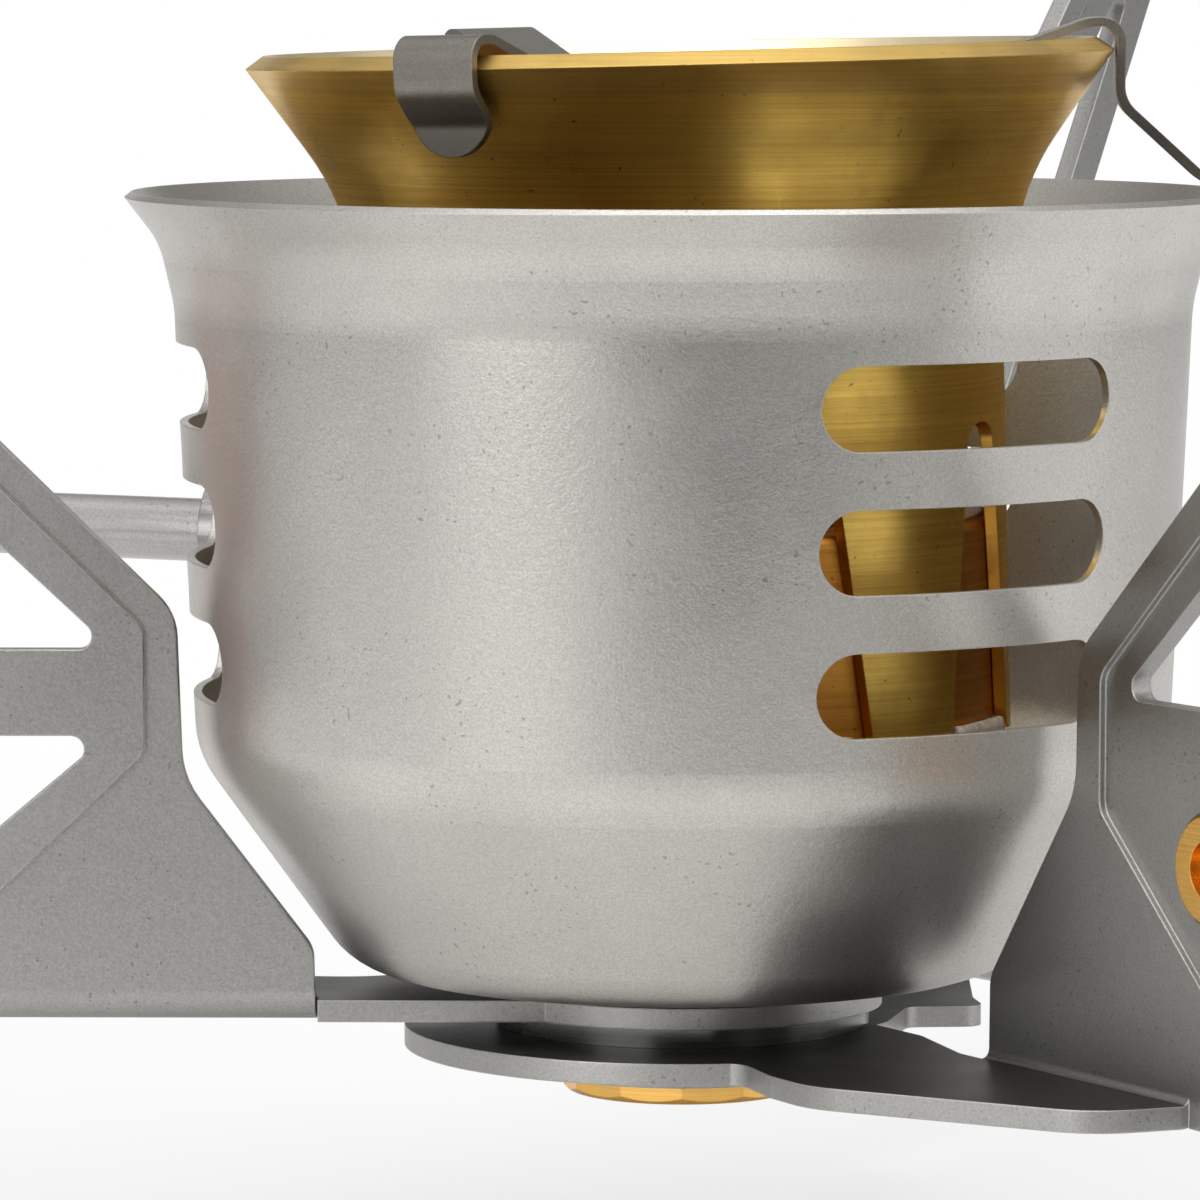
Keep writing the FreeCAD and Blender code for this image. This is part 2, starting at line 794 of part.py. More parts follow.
def pipe_path(end_reach):
    """Centre line of the fuel pipe: in along X, round the mixing tube, down and into the foot."""
    angle = loop_entry_angle()
    bend_x = (loop_radius + loop_entry_bend) * cos(angle)
    last = angle + radians(loop_sweep)
    drop_x, drop_y = pipe_drop_place()
    out_x, out_y = pipe_direction()
    z = pipe_z
    edges = [Part.LineSegment(vec(end_reach, 0, z), vec(bend_x, 0, z)).toShape()]
    centre = vec(bend_x, loop_entry_bend, z)
    join = vec(loop_radius * cos(angle), loop_radius * sin(angle), z)
    middle = (-pi / 2 + atan2(join.y - centre.y, join.x - centre.x)) / 2
    point = centre + vec(loop_entry_bend * cos(middle), loop_entry_bend * sin(middle), 0)
    edges.append(Part.Arc(vec(bend_x, 0, z), point, join).toShape())
    half = angle + radians(loop_sweep) / 2
    top = vec(loop_radius * cos(last), loop_radius * sin(last), z)
    point = vec(loop_radius * cos(half), loop_radius * sin(half), z)
    edges.append(Part.Arc(join, point, top).toShape())
    along = vec(-sin(last), cos(last), 0)
    turn = sin(pi / 4)
    point = top + along * (down_bend * turn) + vec(0, 0, -down_bend * (1 - turn))
    low = vec(drop_x, drop_y, z - down_bend)
    edges.append(Part.Arc(top, point, low).toShape())
    corner = vec(drop_x, drop_y, foot_port_z + foot_entry_bend)
    edges.append(Part.LineSegment(low, corner).toShape())
    inward = vec(-out_x, -out_y, 0)
    point = corner + inward * (foot_entry_bend * (1 - turn)) + vec(0, 0, -foot_entry_bend * turn)
    flat = corner + inward * foot_entry_bend + vec(0, 0, -foot_entry_bend)
    edges.append(Part.Arc(corner, point, flat).toShape())
    reach = foot_radius - foot_port_depth
    edges.append(Part.LineSegment(flat, vec(out_x * reach, out_y * reach, foot_port_z)).toShape())
    return Part.Wire(edges)


def swept(path, radius, start):
    ring = Part.Wire(Part.makeCircle(radius, start, vec(1, 0, 0)))
    return path.makePipeShell([ring], True, False)


def fuel_pipe():
    start = vec(pipe_end_reach, 0, pipe_z)
    path = pipe_path(pipe_end_reach)
    body = swept(path, pipe_radius, start).cut(swept(path, pipe_bore_radius, start))
    return turned(body, pipe_azimuth)


def pipe_gland():
    """A sleeve with a flange on each side of the bowl's wall."""
    wall = bowl_side_radius(pipe_z)
    flange = gland_flange + gland_wall_room
    body = rod(gland_radius, wall - gland_length / 2, wall + gland_length / 2, pipe_z)
    body = body.fuse(rod(gland_flange_radius, wall - flange, wall + flange, pipe_z))
    hole = rod(gland_radius, wall - gland_length, wall + gland_length, pipe_z)
    body = body.cut(bowl_shell().cut(hole))
    return turned(body.cut(rod(pipe_radius, 0, pipe_end_reach, pipe_z)), pipe_azimuth)


def pipe_nut():
    out_x, out_y = pipe_direction()
    axis = vec(out_x, out_y, 0)
    place = axis * foot_radius + vec(0, 0, foot_port_z)
    body = prism(6, hex_circumradius(pipe_nut_hex), pipe_nut_length, place, axis)
    body = body.cut(Part.makeCylinder(pipe_radius, pipe_nut_length, place, axis))
    return turned(body, pipe_azimuth)


def burner_foot():
    body = tube(foot_radius, foot_z, foot_height)
    body = body.fuse(tube(boss_radius, foot_z + foot_height, boss_height))
    body = body.cut(tube(bolt_radius, foot_z, stud_top_z - foot_z))
    jet_seat_z = foot_top_z - jet_stem_length
    body = body.cut(tube(jet_stem_radius, jet_seat_z, jet_stem_length))
    body = body.cut(tube(pipe_bore_radius, foot_port_z, jet_seat_z - foot_port_z))
    out_x, out_y = pipe_direction()
    axis = vec(out_x, out_y, 0)
    low = vec(0, 0, foot_port_z)
    passage = Part.makeCylinder(pipe_bore_radius, foot_radius, low, axis)
    seat = Part.makeCylinder(pipe_radius, foot_radius, low + axis * (foot_radius - foot_port_depth), axis)
    # the flat seat of the pipe nut
    face = vec(foot_radius, -foot_radius, foot_z)
    flat = Part.makeBox(foot_radius, 2 * foot_radius, foot_height + boss_height, face)
    flat.rotate(vec(0, 0, 0), vec(0, 0, 1), degrees(atan2(out_y, out_x)))
    return body.cut(turned(passage.fuse(seat).fuse(flat), pipe_azimuth))


def main_jet():
    head = prism(6, hex_circumradius(jet_hex), jet_height, vec(0, 0, foot_top_z), vec(0, 0, 1))
    place = vec(0, 0, foot_top_z)
    head = bevelled(head, hex_circumradius(jet_hex), jet_height, place, vec(0, 0, 1), nut_edge_bevel)
    body = head.fuse(tube(jet_stem_radius, foot_top_z - jet_stem_length, jet_stem_length))
    return body.cut(tube(jet_bore_radius, foot_top_z - jet_stem_length, jet_stem_length + jet_height))


def mixing_tube():
    base = foot_z + foot_height
    body = tube(boss_radius + tube_wall, base, tube_top_z - base, boss_radius)
    low, high = tube_window_z, tube_window_z + tube_window_height
    half = tube_window_width / 2
    bend = tube_window_bend
    corners = [(-half, low, bend), (half, low, bend), (half, high, bend), (-half, high, bend)]
    window = upright(corners, 0, 2 * boss_radius)
    for i in range(tube_window_count):
        body = body.cut(turned(window, 360.0 * i / tube_window_count + pipe_azimuth))
    return body


def burner_cup():
    radius = neck_radius - bell_wall
    floor_z = tube_top_z - cup_floor
    body = tube(radius, floor_z, cup_rim_height)
    body = body.cut(tube(radius - cup_wall, tube_top_z, cup_rim_height))
    body = body.cut(tube(boss_radius + tube_wall + bell_shift, floor_z, cup_rim_height))
    for ring_radius, count in zip(port_ring_radii, port_counts):
        for i in range(count):
            port = Part.makeCylinder(port_radius, cup_floor, vec(ring_radius, 0, floor_z))
            body = body.cut(turned(port, 360.0 * i / count))
    return leaned(body)


def burner_shell():
    """Open brass cylinder with its rim turned in and a notch where the pipe comes in."""
    top = rim_z - shell_rim_drop
    path = [
        (shell_radius, pad_top_z - shell_foot_depth, 0),
        (shell_radius, top, shell_rim_bend),
        (shell_rim_radius, top + shell_rim_rise, 0),
    ]
    body = leaned(lathe(sheet_section(path, shell_wall)))
    half = pipe_radius + pad_gap
    notch = rod(half, loop_radius, bowl_side_radius(pipe_z), pipe_z)
    corner = vec(loop_radius, -half, pipe_z)
    notch = notch.fuse(Part.makeBox(shell_radius, 2 * half, shell_radius, corner))
    return body.cut(turned(notch, pipe_azimuth))


def bell_path():
    """Outside of the bell from its tip down to the end of the skirt."""
    return [
        (bell_tip_radius, rim_z + bell_tip_rise, 0),
        (throat_radius, rim_z + throat_rise, throat_bend),
        (neck_radius, rim_z - neck_drop, neck_bend),
        (neck_radius, rim_z - skirt_drop, 0),
    ]


def bell_lip():
    """The thicker end of the flare, cut square to it."""
    rise = bell_tip_rise - throat_rise
    run = bell_tip_radius - throat_radius
    size = hypot(run, rise)
    taper = bell_lip_length + (bell_lip_wall - bell_wall)
    edge = [(0, 0), (0, bell_lip_wall), (bell_lip_length, bell_lip_wall), (taper, bell_wall / 2)]
    corners = []
    for along, depth in edge:
        a = bell_tip_radius - (run * along + rise * depth) / size
        b = rim_z + bell_tip_rise - (rise * along - run * depth) / size
        corners.append((a, b, 0))
    return lathe(corners)


def bell_tongue():
    """One tongue of the skirt and the edge it hangs from, on the X axis."""
    root, end = rim_z - skirt_drop, rim_z - tongue_end_drop
    shoulder = neck_radius * sin(pi / tongue_count)
    wide, narrow = tongue_top_width / 2, tongue_end_width / 2
    corners = [
        (shoulder, root + tongue_root_height, 0),
        (shoulder, root, 0),
        (wide, root, tongue_root_radius),
        (narrow, end, tongue_end_bend),
        (-narrow, end, tongue_end_bend),
        (-wide, root, tongue_root_radius),
        (-shoulder, root, 0),
        (-shoulder, root + tongue_root_height, 0),
    ]
    band = upright(corners, -2 * neck_radius, 2 * neck_radius)
    ring = tube(neck_radius, end, root + tongue_root_height - end, neck_radius - bell_wall)
    return turned(ring.common(band), 90.0)


def burner_bell():
    body = lathe(sheet_section(bell_path(), -bell_wall)).fuse(bell_lip())
    for i in range(tongue_count):
        body = body.fuse(turned(bell_tongue(), tongue_azimuth + 360.0 * i / tongue_count))
    return leaned(body.removeSplitter())


def spreader_arm(path):
    """A strip that follows the path of its underside."""
    corners = sheet_section(path, spreader_thickness)
    return upright(corners, -spreader_width / 2, spreader_width)


def rounded_end(arm, z):
    """The arm's hanging tab with its lower end cut to a half round."""
    half = spreader_width / 2
    inner = neck_radius
    length = rim_radius - inner
    corner = vec(inner, -half, z - spreader_width)
    block = Part.makeBox(length, spreader_width, half + spreader_width, corner)
    keep = Part.makeCylinder(half, length, vec(inner, 0, z + half), vec(1, 0, 0))
    return arm.cut(block.cut(keep))


def arm_start():
    """Underside of an arm from the hub up to the bell's lip."""
    tip = bell_tip_radius + tab_gap
    return [
        (spreader_hub_radius / 2, rim_z + spreader_hub_rise, 0),
        (spreader_hub_radius, rim_z + spreader_hub_rise, spreader_hub_bend),
        (tip - spreader_top_length, rim_z + spreader_top_rise, spreader_top_bend),
        (tip, rim_z + spreader_top_rise, tab_corner_bend),
    ]


def clip_path():
    """Underside of an arm whose tab grips below the bell's lip."""
    tip = bell_tip_radius + tab_gap
    return arm_start() + [
        (tip, rim_z + tab_bend_rise, spreader_top_bend),
        (tip - tab_inset, rim_z + tab_inset_rise, spreader_top_bend),
        (tip - tab_inset, rim_z + tab_end_rise, 0),
    ]


def lever_path():
    """Underside of the arm that goes on over the bowl's rim."""
    tip = bell_tip_radius + tab_gap
    return arm_start() + [
        (tip - lever_inset, rim_z + lever_bend_rise, lever_bend),
        (lever_level_reach, rim_z + lever_level_rise, lever_bend),
        (lever_reach, rim_z + lever_level_rise, 0),
    ]


def flame_spreader():
    hub_z = rim_z + spreader_hub_rise
    body = tube(spreader_hub_radius, hub_z, spreader_thickness)
    lever, *clips = spreader_azimuths
    body = body.fuse(turned(spreader_arm(lever_path()), lever))
    clip = rounded_end(spreader_arm(clip_path()), rim_z + tab_end_rise)
    for azimuth in clips:
        body = body.fuse(turned(clip, azimuth))
    body = body.removeSplitter().cut(tube(spreader_hole_radius, hub_z, spreader_thickness))
    return leaned(turned(body, spreader_turn))


def priming_pad():
    inner = foot_radius + pad_gap
    corners = [
        (inner, bowl_floor_z, 0),
        (pad_foot_radius, bowl_floor_z, 0),
        (pad_outer_radius, pad_shoulder_z, pad_shoulder_bend),
        (pad_outer_radius, pad_top_z, pad_top_bend),
        (inner, pad_top_z, 0),
    ]
    body = lathe(corners)
    end = rim_z - tongue_end_drop - pad_lean_room
    outer = pad_outer_radius + pad_gap
    start = sqrt((neck_radius - bell_wall) ** 2 - (pad_slit_width / 2) ** 2) - pad_lean_room
    corner = vec(start, -pad_slit_width / 2, end)
    slit = Part.makeBox(outer - start, pad_slit_width, pad_top_z - end, corner)
    for i in range(tongue_count):
        body = body.cut(turned(slit, tongue_azimuth + 360.0 * i / tongue_count))
    depth = shell_foot_depth + shell_foot_room
    groove = tube(shell_radius + pad_gap, pad_top_z - depth, 2 * depth, shell_radius - shell_wall - pad_gap)
    body = body.cut(leaned(groove))
    drop_x, drop_y = pipe_drop_place()
    half = pipe_nut_hex / 2 + pad_nut_room
    well_z = foot_port_z - half
    reach = hypot(drop_x, drop_y) + pipe_radius + pad_gap
    well = Part.makeBox(reach, 2 * half, pad_top_z - well_z, vec(0, -half, well_z))
    return body.cut(turned(well, pipe_azimuth + degrees(atan2(drop_y, drop_x))))


def inlet_body():
    place = vec(inlet_start, 0, pipe_z)
    axis = vec(1, 0, 0)
    body = prism(6, hex_circumradius(inlet_hex), inlet_length, place, axis)
    body = bevelled(body, hex_circumradius(inlet_hex), inlet_length, place, axis, inlet_bevel)
    body = body.fuse(rod(inlet_neck_radius, collar_start - inlet_neck_length, collar_start, pipe_z))
    body = body.cut(rod(pipe_radius, inlet_start, pipe_end_reach, pipe_z))
    body = body.cut(rod(nipple_bore_radius, pipe_end_reach, nipple_start, pipe_z))
    seat = rod(nipple_radius + running_gap, nipple_start, collar_start, pipe_z)
    return turned(body.cut(seat), pipe_azimuth)


def swivel_nut():
    """Gland nut on the inlet's neck; it holds the nipple's collar."""
    start = inlet_start + inlet_length
    collar_end = collar_start + nipple_collar_length + sheet_gap
    place = vec(start, 0, pipe_z)
    axis = vec(1, 0, 0)
    length = collar_end + gland_nut_wall - start
    body = prism(6, hex_circumradius(gland_nut_hex), length, place, axis)
    body = bevelled(body, hex_circumradius(gland_nut_hex), length, place, axis, gland_nut_bevel)
    body = body.cut(rod(inlet_neck_radius, start, collar_start, pipe_z))
    body = body.cut(rod(nipple_collar_radius + collar_gap, collar_start, collar_end, pipe_z))
    return turned(body.cut(rod(nipple_radius + collar_gap, start, start + length, pipe_z)), pipe_azimuth)


def swivel_nipple():
    body = rod(nipple_radius, nipple_start + sheet_gap, nipple_tip, pipe_z)
    body = body.fuse(rod(nipple_collar_radius, collar_start, collar_start + nipple_collar_length, pipe_z))
    for i in range(barb_count):
        start = vec(barb_start + i * barb_pitch, 0, pipe_z)
        body = body.fuse(Part.makeCone(barb_radius, nipple_radius, barb_length, start, vec(1, 0, 0)))
    body = body.cut(rod(nipple_bore_radius, nipple_start, nipple_tip, pipe_z))
    half = o_ring_section + running_gap
    floor = nipple_radius - 2 * o_ring_section
    groove = rod(nipple_radius + running_gap, o_ring_reach - half, o_ring_reach + half, pipe_z, floor)
    return turned(body.cut(groove), pipe_azimuth)


def swivel_o_ring():
    """The seal in its groove round the nipple, flush with the nipple's outside."""
    centre = vec(o_ring_reach, 0, pipe_z)
    ring = Part.makeTorus(nipple_radius - o_ring_section, o_ring_section, centre, vec(1, 0, 0))
    return turned(ring, pipe_azimuth)


def inlet_filter():
    start = nipple_tip - filter_length - filter_inset
    return turned(rod(nipple_bore_radius, start, start + filter_length, pipe_z), pipe_azimuth)


def spare_jets():
    """The spare jets screwed into the fixed leg, as separate solids."""
    inner_face = plate_offset - leg_sheet + pressed_step
    head = inner_face - spare_jet_head
    tail = inner_face + leg_sheet + spare_jet_tail
    jets = []
    for reach, z in spare_jet_places():
        body = across(spare_jet_radius, reach, z, head, inner_face)
        circles = [e for e in body.Edges if isinstance(e.Curve, Part.Circle)]
        rims = [e for e in circles if e.CenterOfMass.y < inner_face - spare_jet_head / 2]
        body = body.makeChamfer(spare_jet_bevel, rims)
        body = body.fuse(across(spare_jet_thread_radius, reach, z, inner_face, tail))
        body = body.cut(across(spare_jet_bore_radius, reach, z, head, tail - spare_jet_face))
        jets.append(body.cut(across(jet_bore_radius, reach, z, head, tail)))
    return turned(Part.makeCompound(jets), fixed_leg_azimuth)


parts = {
    "burner_bowl": burner_bowl,
    "fixed_leg": fixed_leg,
    "left_leg": left_leg,
    "rear_leg": rear_leg,
    "centre_nut": centre_nut,
    "centre_stud": centre_stud,
    "friction_washer": friction_washer,
    "thrust_washer": thrust_washer,
    "foot_washer": foot_washer,
    "burner_foot": burner_foot,
    "main_jet": main_jet,
    "mixing_tube": mixing_tube,
    "burner_cup": burner_cup,
    "burner_shell": burner_shell,
    "burner_bell": burner_bell,
    "flame_spreader": flame_spreader,
    "priming_pad": priming_pad,
    "fuel_pipe": fuel_pipe,
    "pipe_gland": pipe_gland,
    "pipe_nut": pipe_nut,
    "inlet_body": inlet_body,
    "swivel_nut": swivel_nut,
    "swivel_nipple": swivel_nipple,
    "swivel_o_ring": swivel_o_ring,
    "inlet_filter": inlet_filter,
    "spare_jets": spare_jets,
}

os.makedirs("parts", exist_ok=True)
for name, build in parts.items():
    shape = build()
    box = shape.BoundBox
    print(f"{name:16} solids {len(shape.Solids)} valid {shape.isValid()}", end="")
    print(f" volume {shape.Volume:9.2f}", end="")
    print(f"  x {box.XMin:7.2f} {box.XMax:7.2f}", end="")
    print(f"  y {box.YMin:7.2f} {box.YMax:7.2f}  z {box.ZMin:7.2f} {box.ZMax:7.2f}")
    shape.exportStep(f"parts/{name}.step")
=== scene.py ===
import json
from math import atan2, cos, hypot, pi, radians, sin

import bpy
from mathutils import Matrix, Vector
from mathutils import noise as mathnoise


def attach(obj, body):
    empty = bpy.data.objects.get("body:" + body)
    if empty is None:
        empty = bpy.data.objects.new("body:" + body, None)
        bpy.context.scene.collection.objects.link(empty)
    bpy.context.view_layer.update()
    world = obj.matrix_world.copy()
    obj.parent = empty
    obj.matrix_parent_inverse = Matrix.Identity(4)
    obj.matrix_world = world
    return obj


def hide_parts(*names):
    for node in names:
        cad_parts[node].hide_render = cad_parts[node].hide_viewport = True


# The looks of a camping stove burner, in metres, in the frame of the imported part.
# Sizes inside a finish are in millimetres, on the scale of its piece.
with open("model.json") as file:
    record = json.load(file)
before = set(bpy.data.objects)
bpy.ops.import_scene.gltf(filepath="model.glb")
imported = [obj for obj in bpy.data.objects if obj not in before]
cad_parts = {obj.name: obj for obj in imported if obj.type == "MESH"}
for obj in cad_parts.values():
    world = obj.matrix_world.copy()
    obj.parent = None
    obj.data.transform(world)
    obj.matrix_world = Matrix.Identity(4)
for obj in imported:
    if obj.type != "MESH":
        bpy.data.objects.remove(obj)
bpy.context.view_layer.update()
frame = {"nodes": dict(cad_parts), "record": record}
nodes = frame["nodes"]
mm = 0.001

# Camera, as the photograph was taken: a long lens a little above the bowl's rim
image_size = 1200
focal_pixels = 6804
axis_pixel_x = 683
horizon_pixel_y = -31
camera_distance = 405 * mm
camera_height = 66.9 * mm
sensor_width = 36.0

# Priming pad, in millimetres but for the voxel
pad_voxel = 0.25 * mm
lump_size = 3.5
lump_depth = 0.10
thread_pitch = 1.1
thread_depth = 0.03
strand_width = 0.5
strand_length = 3.0
strand_depth = 0.03

# Steel sheet: colours, and the painted highlight on its rounded edges
bowl_color = (0.62, 0.601, 0.565)
leg_color = (0.42, 0.415, 0.40)
pipe_color = (0.58, 0.57, 0.55)
spreader_color = (0.29, 0.275, 0.245)
painted_edge_highlight_color = (0.82, 0.81, 0.79)
sheet_edge = 0.12
sheet_highlight_share = 0.35
leg_edge = 0.16
leg_highlight_share = 0.8

# The warm tint on the bowl's left: an upright band, at this place on the bowl
tint_color = (0.56, 0.43, 0.39)
tint_x = -26.2
tint_z = 35.0
tint_share = 0.75

# Heights of the legs' flanges, of the heated part of the bell and of its lip
flange_top = 8.0
heated_height = 46.0
lip_height = 61.0

# Floor and backdrop
ground_z = -12 * mm
floor_radius = 20.0
floor_sides = 64
floor_white = 0.93
# The floor in front of the burner is darkened: painted shade, seen in the metal's reflections
floor_front_shade = 0.12
floor_front_start = 70
floor_front_end = 300
glow_start = 40.0
glow_end = 320.0
glow_near = 0.70
backdrop_start = 0.90
backdrop_full = 0.985

# Room: grey, lighter overhead, darkest round one direction on the camera's side, in degrees
room_tone = 0.19
overhead_start = 0.30
overhead_full = 0.95
overhead_share = 0.6
dim_tone = 0.10
dim_azimuth = 5
dim_core = 10
dim_edge = 41

# Lights
softbox_aim = 30 * mm
softbox_distance = 0.95
softbox_color = (1.0, 0.995, 0.985)
top_light_color = (1.0, 1.0, 1.0)


class Graph:
    """Adds nodes to one node tree; most methods give an output socket."""

    def __init__(self, tree):
        self.tree = tree
        self.place = None

    def node(self, kind, inputs=None, **settings):
        made = self.tree.nodes.new(kind)
        for key, value in settings.items():
            setattr(made, key, value)
        for key, value in (inputs or {}).items():
            self.put(made.inputs[key], value)
        return made

    def put(self, socket, value):
        if isinstance(value, bpy.types.NodeSocket):
            self.tree.links.new(value, socket)
        else:
            socket.default_value = value

    def math(self, operation, a, b=0.0, c=0.0):
        return self.node("ShaderNodeMath", {0: a, 1: b, 2: c}, operation=operation).outputs[0]

    def product(self, first, *others):
        for other in others:
            first = self.math("MULTIPLY", first, other)
        return first

    def away_from(self, value, centre):
        """How far the value is from the centre, on either side."""
        return self.math("ABSOLUTE", self.math("SUBTRACT", value, centre))

    def dot(self, a, b):
        made = self.node("ShaderNodeVectorMath", {0: a, 1: b}, operation="DOT_PRODUCT")
        return made.outputs["Value"]

    def scaled(self, vector, scale):
        made = self.node("ShaderNodeVectorMath", {0: vector, 1: scale}, operation="MULTIPLY")
        return made.outputs[0]

    def axes(self, vector):
        """The vector's X, Y and Z, by name."""
        return self.node("ShaderNodeSeparateXYZ", {0: vector}).outputs

    def millimetres(self):
        """The point's place on its own piece, in millimetres."""
        if self.place is None:
            coordinates = self.node("ShaderNodeTexCoord").outputs["Object"]
            self.place = self.scaled(coordinates, (1 / mm, 1 / mm, 1 / mm))
        return self.place

    def facing(self):
        """Which way the surface faces, in its own piece's axes."""
        return self.node("ShaderNodeTexCoord").outputs["Normal"]

    def noise(self, size, detail=2.0, roughness=0.55, stretch=(1, 1, 1), distortion=0.0):
        """Noise with features about size millimetres wide, longer along an axis by its stretch."""
        vector = self.scaled(self.millimetres(), [1 / (size * s) for s in stretch])
        inputs = {"Vector": vector, "Scale": 1.0, "Detail": detail, "Roughness": roughness,
                  "Distortion": distortion}
        return self.node("ShaderNodeTexNoise", inputs).outputs["Fac"]

    def spread(self, value, low, high, to_low=0.0, to_high=1.0):
        """The value mapped from low..high to to_low..to_high, smoothly and held at the ends."""
        inputs = {"Value": value, "From Min": low, "From Max": high, "To Min": to_low, "To Max": to_high}
        made = self.node("ShaderNodeMapRange", inputs, interpolation_type="SMOOTHSTEP")
        return made.outputs["Result"]

    def fade(self, value, full, gone, share=1.0):
        """The share where the value is below full, falling smoothly to nought at gone."""
        return self.spread(value, full, gone, share, 0.0)

    def mix(self, share, a, b):
        made = self.node("ShaderNodeMix", data_type="RGBA")
        self.put(made.inputs[0], share)
        self.put(made.inputs[6], a)
        self.put(made.inputs[7], b)
        return made.outputs[2]

    def bump(self, height, depth, normal):
        """A bump as deep as depth millimetres for a height of one, on top of the given normal."""
        inputs = {"Height": height, "Distance": depth * mm, "Strength": 1.0, "Normal": normal}
        return self.node("ShaderNodeBump", inputs).outputs["Normal"]

    def rounded(self, radius):
        """The normal of a surface whose edges are rounded to radius millimetres."""
        return self.node("ShaderNodeBevel", {"Radius": radius * mm}).outputs["Normal"]

    def painted_edge_highlight(self, rounded_normal):
        """One on the rounded edges, where the painted edge highlight goes; nought on open faces."""
        true_normal = self.node("ShaderNodeNewGeometry").outputs["Normal"]
        return self.fade(self.dot(rounded_normal, true_normal), 0.80, 0.985)


def rgba(color):
    return (*color, 1.0)


def grey(level):
    return (level, level, level, 1.0)


def shaded(color, factor):
    return rgba([channel * factor for channel in color])


def new_finish(name, metallic, roughness):
    """An empty finish: its material, its node graph and its shader."""
    material = bpy.data.materials.new(name)
    material.use_nodes = True
    graph = Graph(material.node_tree)
    shader = material.node_tree.nodes["Principled BSDF"]
    shader.inputs["Metallic"].default_value = metallic
    shader.inputs["Roughness"].default_value = roughness
    return material, graph, shader


# Finishes of steel sheet
def blasted_steel(name, color, roughness, speckle_depth, cloud, edge=sheet_edge, highlight_share=sheet_highlight_share):
    """Bead-blasted sheet: fine speckle, soft clouds, a few small darker specks and a painted highlight on its
    rounded edges.
    """
    material, graph, shader = new_finish(name, metallic=1.0, roughness=roughness)
    rounded = graph.rounded(edge)
    speckle = graph.noise(0.13, detail=1.5)
    grain = graph.noise(0.45, detail=2.0)
    clouds = graph.noise(9.0, detail=4.0)
    tone = graph.mix(graph.spread(speckle, 0.30, 0.70), shaded(color, 0.88), shaded(color, 1.09))
    tone = graph.mix(graph.spread(clouds, 0.3, 0.7, 0.0, cloud), tone, shaded(color, 0.80))
    specks = graph.spread(graph.noise(0.28, detail=0.0), 0.74, 0.80, 0.0, 0.55)
    rare = graph.spread(graph.noise(5.0, detail=0.0), 0.45, 0.65)
    tone = graph.mix(graph.product(specks, rare), tone, shaded(color, 0.40))
    # Painted highlight: the rounded edges are lightened toward pale steel, standing in for the light they
    # catch.
    painted_edge_highlight = graph.product(graph.painted_edge_highlight(rounded), highlight_share)
    tone = graph.mix(painted_edge_highlight, tone, rgba(painted_edge_highlight_color))
    graph.put(shader.inputs["Base Color"], tone)
    rough = graph.spread(clouds, 0.3, 0.7, roughness - 0.04, roughness + 0.05)
    graph.put(shader.inputs["Roughness"], rough)
    fine = graph.bump(speckle, speckle_depth, rounded)
    graph.put(shader.inputs["Normal"], graph.bump(grain, speckle_depth * 1.6, fine))
    return material, graph, shader, tone


def bowl_steel():
    """Pale blasted sheet with a faint warm tint in an upright band on the left."""
    material, graph, shader, tone = blasted_steel(
        "bowl_steel", bowl_color, roughness=0.38, speckle_depth=0.010, cloud=0.22)
    place = graph.axes(graph.millimetres())
    band = graph.fade(graph.away_from(place["X"], tint_x), 0.4, 3.4)
    front = graph.fade(place["Y"], -9.0, -3.0)
    middle = graph.fade(graph.away_from(place["Z"], tint_z), 10.0, 20.0)
    patch = graph.spread(graph.noise(7.0), 0.25, 0.65, 0.3, 1.0)
    share = graph.product(band, front, middle, patch, tint_share)
    graph.put(shader.inputs["Base Color"], graph.mix(share, tone, rgba(tint_color)))
    return material


def leg_steel():
    """Blasted sheet with a painted edge highlight, and painted shade, nearly black, where a flange lies face
    up under the bowl.
    """
    material, graph, shader, tone = blasted_steel(
        "leg_steel", leg_color, roughness=0.42, speckle_depth=0.008, cloud=0.25,
        edge=leg_edge, highlight_share=leg_highlight_share)
    # Painted shade: face-up flange tops below the flange height are darkened nearly to black, standing in for
    # the dark bowl underside they reflect.
    height = graph.axes(graph.millimetres())["Z"]
    face_up = graph.spread(graph.axes(graph.facing())["Z"], 0.85, 0.98, 0.0, 0.9)
    low = graph.fade(height, flange_top, flange_top + 1.5)
    share = graph.product(face_up, low)
    graph.put(shader.inputs["Base Color"], graph.mix(share, tone, rgba((0.07, 0.068, 0.064))))
    return material


def pipe_steel():
    return blasted_steel("pipe_steel", pipe_color, roughness=0.34, speckle_depth=0.003, cloud=0.2)[0]


def spreader_steel():
    """Heat-resisting sheet with a dull, slightly mottled skin, and painted shade below the bell's lip."""
    material, graph, shader, tone = blasted_steel(
        "spreader_steel", spreader_color, roughness=0.42, speckle_depth=0.005, cloud=0.5)
    streaks = graph.noise(0.35, detail=3.0, stretch=(6, 1, 1))
    tone = graph.mix(graph.spread(streaks, 0.45, 0.75, 0.0, 0.4), tone, rgba((0.36, 0.33, 0.28)))
    height = graph.axes(graph.millimetres())["Z"]
    # Painted shade: the sheet below the bell's lip is darkened toward near black.
    low = graph.fade(height, lip_height - 4.0, lip_height, share=0.75)
    graph.put(shader.inputs["Base Color"], graph.mix(low, tone, rgba((0.10, 0.092, 0.08))))
    return material


